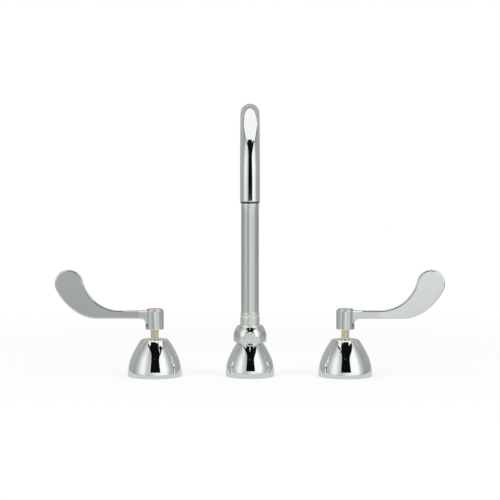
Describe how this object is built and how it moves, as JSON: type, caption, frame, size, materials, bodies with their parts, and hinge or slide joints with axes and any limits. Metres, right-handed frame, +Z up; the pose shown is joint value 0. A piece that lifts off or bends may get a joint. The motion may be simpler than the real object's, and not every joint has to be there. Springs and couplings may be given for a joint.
{
  "type": "widespread basin faucet",
  "caption": "Widespread basin faucet: a swivelling gooseneck spout between hot and cold quarter-turn valves with bell escutcheons and upswept wrist-blade levers.",
  "frame": {"origin": "on the counter's top, at the spout's vertical axis", "axes": "+Z up along the spout's riser, -Y towards the user (the way the spout's outlet points), +X towards the cold valve"},
  "size_m": [0.4156, 0.1747, 0.3702],
  "materials": {
    "chrome": "polished plate",
    "tube_chrome": "polished plate with fine drawing lines",
    "collar_chrome": "polished plate",
    "nut_chrome": "polished plate",
    "handle_chrome": "polished plate",
    "brass": "machined, unplated",
    "stem_brass": "machined, unplated",
    "steel": "satin",
    "rubber": "matte",
    "foam": "matte closed-cell foam",
    "ceramic": "lapped ceramic",
    "nylon": "matte",
    "index_red": "gloss",
    "index_blue": "gloss"
  },
  "bodies": {
    "fixed_pieces": {"swivel_washer": "nylon", "spout_nut": "nut_chrome", "spout_bell": "chrome", "spout_bell_gasket": "foam", "spout_body": "brass", "spout_gasket": "rubber", "spout_rubber_washer": "rubber", "spout_steel_washer": "steel", "spout_lock_nut": "brass", "spout_tee": "brass", "tee_washer": "rubber", "cold_bell": "chrome", "cold_bell_gasket": "foam", "cold_upper_nut": "brass", "cold_valve_body": "brass", "cold_rubber_washer": "rubber", "cold_steel_washer": "steel", "cold_lock_nut": "brass", "cold_seat_seal": "rubber", "cold_fixed_disc": "ceramic", "cold_cartridge_body": "brass", "cold_cartridge_o_ring": "rubber", "cold_bonnet_nut": "brass", "hot_bell": "chrome", "hot_bell_gasket": "foam", "hot_upper_nut": "brass", "hot_valve_body": "brass", "hot_rubber_washer": "rubber", "hot_steel_washer": "steel", "hot_lock_nut": "brass", "hot_seat_seal": "rubber", "hot_fixed_disc": "ceramic", "hot_cartridge_body": "brass", "hot_cartridge_o_ring": "rubber", "hot_bonnet_nut": "brass"},
    "spout": {"gooseneck": "tube_chrome", "flow_straightener": "nylon", "spout_collar": "collar_chrome", "spout_o_rings": "rubber"},
    "hot_lever": {"hot_moving_disc": "ceramic", "hot_stem": "stem_brass", "hot_stem_o_rings": "rubber", "hot_stem_clip": "steel", "hot_handle": "handle_chrome", "hot_handle_screw": "steel", "hot_index_button": "index_red", "hot_set_screw": "steel"},
    "cold_lever": {"cold_moving_disc": "ceramic", "cold_stem": "stem_brass", "cold_stem_o_rings": "rubber", "cold_stem_clip": "steel", "cold_handle": "handle_chrome", "cold_handle_screw": "steel", "cold_index_button": "index_blue", "cold_set_screw": "steel"}
  },
  "joints": [
    {"name": "spout_swivel", "type": "hinge", "parent": "fixed_pieces", "child": "spout", "pos_m": [0, 0, 0.05], "axis": [0, 0, 1], "continuous": true},
    {"name": "hot_handle_turn", "type": "hinge", "parent": "fixed_pieces", "child": "hot_lever", "pos_m": [-0.1016, 0, 0.05], "axis": [0, 0, 1], "range_deg": [0, 90]},
    {"name": "cold_handle_turn", "type": "hinge", "parent": "fixed_pieces", "child": "cold_lever", "pos_m": [0.1016, 0, 0.05], "axis": [0, 0, 1], "range_deg": [-90, 0]}
  ]
}
